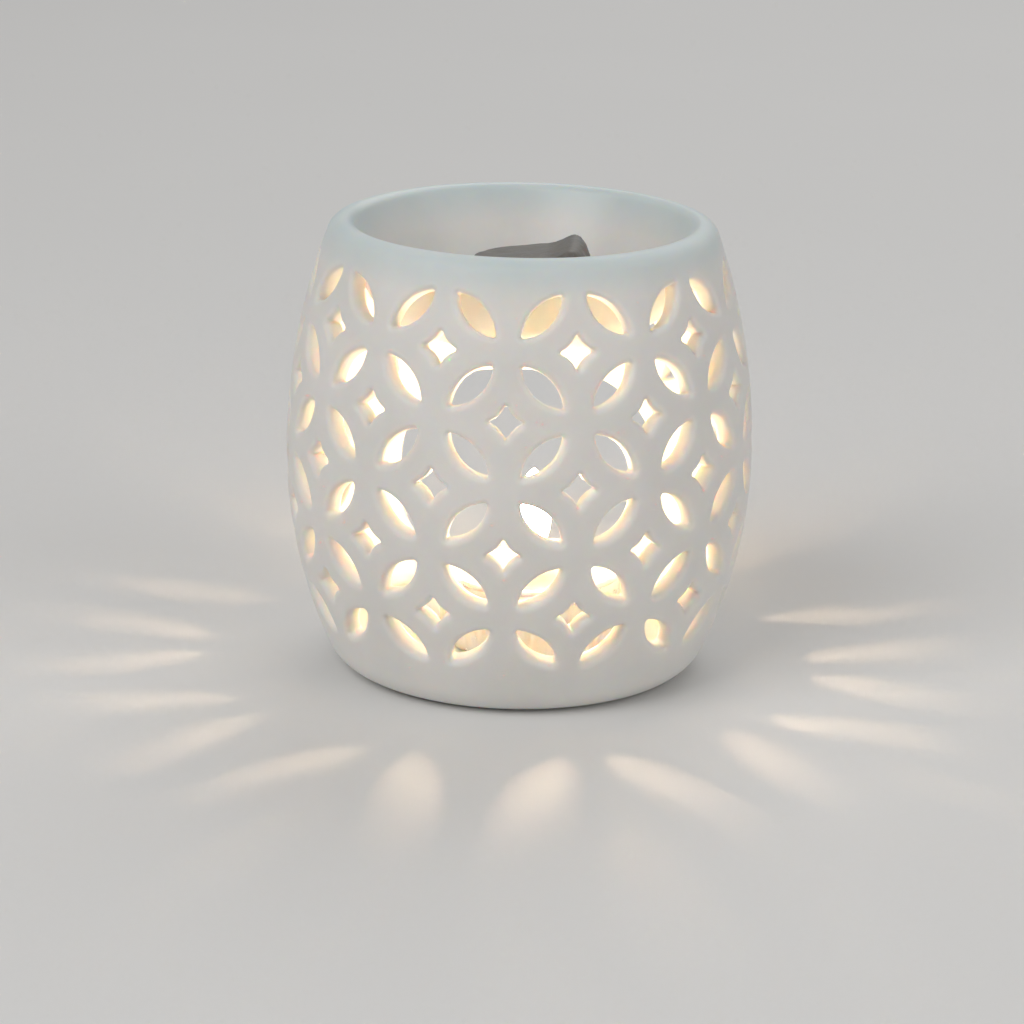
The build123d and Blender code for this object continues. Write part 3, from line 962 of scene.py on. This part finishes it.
def flameMaterial():
    # bluish foot, bright body, orange tip
    material, tree, shader, coords = newMaterial("candle flame", Base_Color=(0, 0, 0, 1), Roughness=1.0)
    flicker = noiseOf(tree, coords, flame["flickerScale"], detail=2.0)
    uneven = calc(tree, "MULTIPLY", flicker, flame["flicker"] * mm)
    span = [(flame[end] + flame["flicker"] / 2) * mm for end in ("low", "high")]
    share = ranged(tree, calc(tree, "ADD", heightOf(tree, coords), uneven), span)
    ramp = addNode(tree, "ShaderNodeValToRGB", {0: share})
    elements = ramp.color_ramp.elements
    while len(elements) < len(flame["stops"]):
        elements.new(0.5)
    for element, (spot, colour) in zip(elements, flame["stops"]):
        element.position, element.color = spot, (*colour, 1.0)
    tree.links.new(ramp.outputs[0], shader.inputs["Emission Color"])
    footStrength = flame["footGlow"] * flame["strength"]  # dim round the wick
    glow = ranged(tree, share, flame["glowRise"], (footStrength, flame["strength"]))
    tree.links.new(glow, shader.inputs["Emission Strength"])
    return material


cup = flutedCup()
bakeNodes(cup, flutedTree(), {
    "Centre": (candleAt[0] * mm, 0.0, 0.0), "Flute count": candle["flutes"],
    "Flute depth": candle["fluteDepth"] * mm, "Foil": metalMaterial("pressed foil", cupLook),
})
wax = smoothShade(waxDisc(), paraffinMaterial())
wick = smoothShade(braidedWick(), wickMaterial())
flameBody = smoothShade(flameDrop(), flameMaterial())
replaced = ((cup, "tealight_cup", "cup"), (wax, "candle_wax", "paraffin"), (wick, "wick", "wick"))
for piece, node, slot in replaced:
    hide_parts(node)
for piece in (cup, wax, wick, flameBody):
    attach(piece, "tealight")
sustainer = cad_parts["wick_sustainer"]
sustainer.data.materials.clear()
sustainer.data.materials.append(metalMaterial("tinned sheet", sustainerLook))
print("tealight: cup, wax, wick and flame made")

# broken-off piece of scented wax in the bowl
chunk = {
    "right": 1.2, "back": 5.0, "length": 25.2, "width": 20.0, "cornerRound": 6.0, "edgeRound": 1.6,
    "lowHeight": 9.7, "highHeight": 12.7, "crestRise": 1.4, "crestAt": 9.0, "crestWidth": 2.7,
    "endFall": 2.1, "footShare": 0.97, "footRings": ((0.6, 0.0), (0.2, 0.06)),  # inset, height as shares
    "sideFrom": 0.16, "sideStep": 0.07, "sideRings": 10, "topRings": 12,
    "shoulderAt": 0.86, "shoulderTurns": (0.3, 0.6, 0.9, 1.2, pi / 2),
    "knocks": 0.28, "knockScale": 0.2, "knockReach": 12.0, "knockNoise": (0.8, 2.1, 4),
}


def chunkOutline(inset):
    box = (chunk["length"], chunk["width"], chunk["cornerRound"], -inset)
    return roundedBox(*box, cornerSteps=12, flatSteps=(8, 8))


def chunkTop(x):
    # the top climbs to the right, ends in a hump and falls away behind it
    share = (x + chunk["length"] / 2) / chunk["length"]
    hump = exp(-(((x - chunk["crestAt"]) / chunk["crestWidth"]) ** 2))
    slope = chunk["lowHeight"] + (chunk["highHeight"] - chunk["lowHeight"]) * share
    past = max(0.0, x - chunk["crestAt"]) / (chunk["length"] / 2 - chunk["crestAt"])
    return slope + chunk["crestRise"] * hump - chunk["endFall"] * past**2


def chunkRings():
    # inset, scale and share of the height of each ring, from the foot over the shoulder to the middle
    edge, shoulder, topRings = chunk["edgeRound"], chunk["shoulderAt"], chunk["topRings"]
    sideShares = [chunk["sideFrom"] + chunk["sideStep"] * step for step in range(chunk["sideRings"])]
    rings = [(edge * inset, 1.0, share) for inset, share in chunk["footRings"]]
    rings += [(0.0, 1.0, share) for share in sideShares]
    for turn in chunk["shoulderTurns"]:
        rings.append((edge * (1 - cos(turn)), 1.0, shoulder + (1 - shoulder) * sin(turn)))
    return rings + [(edge, 1 - step / topRings, 1.0) for step in range(1, topRings)]


def waxChunk():
    knocks, right, back = chunk["knocks"], chunk["right"], chunk["back"]
    points, rings = [], chunkRings()
    for inset, scale, share in rings:
        for x, y in chunkOutline(inset):
            x, y = x * scale, y * scale
            z = share * chunkTop(x)
            spot = Vector((x, y, z)) * chunk["knockScale"]
            knock = knocks * noise.fractal(spot, *chunk["knockNoise"])
            swell = 1 + (knock - knocks) / chunk["knockReach"] if share > 0 else chunk["footShare"]
            points.append((right + x * swell, back + y * swell, bowlFloor + z + share * knock / 2))
    count = len(points) // len(rings)
    faces = ringFaces(len(rings), count)
    top, last = len(points), len(points) - count
    points += [(right, back, bowlFloor + chunkTop(0)), (right, back, bowlFloor)]
    for i in range(count):
        j = (i + 1) % count
        faces += [(last + i, last + j, top), (j, i, top + 1)]
    return meshPiece("waxMelt", points, faces)


meltLook = {
    "tones": ((0.127, 0.115, 0.103), (0.185, 0.170, 0.153)), "toneNoise": (0.35, 0.65),
    "speck": (0.27, 0.255, 0.235), "speckNoise": (0.62, 0.75), "speckShare": 0.5, "speckRelief": 0.2,
    "cloudScale": 130.0, "speckScale": 1500.0, "roughness": (0.36, 0.52),
    "translucence": 0.2, "lightDepth": 2.0, "lightSpread": (1.0, 0.8, 0.6),
    "bumpStrength": 0.3, "bumpDepth": 0.8,
}


def meltMaterial():
    look = meltLook
    material, tree, shader, coords = newMaterial("grey scented wax", look)
    cloud = noiseOf(tree, coords, look["cloudScale"], detail=5.0, roughness=0.6)
    speck = noiseOf(tree, coords, look["speckScale"], detail=2.0)
    tone = mixed(tree, ranged(tree, cloud, look["toneNoise"]), *look["tones"])
    specks = ranged(tree, speck, look["speckNoise"], (0.0, look["speckShare"]))
    rough = ranged(tree, cloud, midNoise, look["roughness"])
    relief = calc(tree, "ADD", cloud, calc(tree, "MULTIPLY", speck, look["speckRelief"]))
    finishSkin(tree, shader, look, mixed(tree, specks, tone, look["speck"]), relief, rough)
    return material


melt = smoothShade(waxChunk(), meltMaterial())
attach(melt, "melt")
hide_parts("wax_melt")
print("melt: made")

# floor and soft lights; a light has a name, watts and a place
studio = {
    "floor": (0.78, 0.775, 0.765), "floorDim": 0.97, "floorCloud": 6.0, "floorSize": 4000.0,
    "floorRoughness": 0.7, "world": 0.27, "worldColour": (1.0, 0.99, 0.975),
    "lightSize": 1200.0, "aim": (0.0, 0.0, 50.0),
    "lights": (
        ("key", 15.0, (-900, -1100, 1300)),
        ("fill", 5.5, (1200, -800, 800)),
        ("rim", 6.5, (300, 1200, 1200)),
    ),
}
# camera as fitted to the photograph; turns in degrees, focal length and frame in pixels
view = {
    "place": (44.83, -763.6, 260.18), "turn": 3.36, "yaw": -0.0929, "pitch": 16.602, "roll": 1.0814,
    "focal": 3802.1, "frame": 1024, "sensor": 36.0,
}


def paleFloor():
    half = studio["floorSize"] / 2
    corners = [(-half, -half, 0), (half, -half, 0), (half, half, 0), (-half, half, 0)]
    floor = meshPiece("floor", corners, [(0, 1, 2, 3)])
    material, tree, shader, coords = newMaterial("pale floor", Roughness=studio["floorRoughness"])
    cloud = noiseOf(tree, coords, studio["floorCloud"])
    dim = tuple(c * studio["floorDim"] for c in studio["floor"])
    tree.links.new(mixed(tree, cloud, studio["floor"], dim), shader.inputs["Base Color"])
    floor.data.materials.append(material)


def softLight(name, watts, place):
    lamp = bpy.data.lights.new(name, "AREA")
    lamp.energy, lamp.size = watts, studio["lightSize"] * mm
    light = bpy.data.objects.new(name, lamp)
    light.location = Vector(place) * mm
    aim = Vector(studio["aim"]) - Vector(place)
    light.rotation_euler = aim.to_track_quat("-Z", "Y").to_euler()
    bpy.context.scene.collection.objects.link(light)


def softWorld():
    world = bpy.data.worlds.new("studio")
    world.use_nodes = True
    background = world.node_tree.nodes["Background"].inputs
    background["Color"].default_value = (*studio["worldColour"], 1.0)
    background["Strength"].default_value = studio["world"]
    bpy.context.scene.world = world


def photoCamera():
    camera = bpy.data.objects.new("camera", bpy.data.cameras.new("camera"))
    pitch, yaw, roll = (radians(view[key]) for key in ("pitch", "yaw", "roll"))
    forward = Vector((sin(yaw) * cos(pitch), cos(yaw) * cos(pitch), -sin(pitch)))
    right = Vector((cos(yaw), -sin(yaw), 0))
    up = right.cross(forward)
    axes = Matrix((right * cos(roll) + up * sin(roll), up * cos(roll) - right * sin(roll), -forward))
    turned = Matrix.Rotation(radians(view["turn"]), 4, "Z") @ axes.transposed().to_4x4()
    camera.matrix_world = Matrix.Translation(Vector(view["place"]) * mm) @ turned
    camera.data.sensor_width = view["sensor"]
    camera.data.lens = view["focal"] * view["sensor"] / view["frame"]
    bpy.context.scene.collection.objects.link(camera)
    bpy.context.scene.camera = camera


paleFloor()
for light in studio["lights"]:
    softLight(*light)
softWorld()
photoCamera()
bpy.context.scene.view_settings.view_transform = "Standard"
print("studio: floor, lights and camera set")
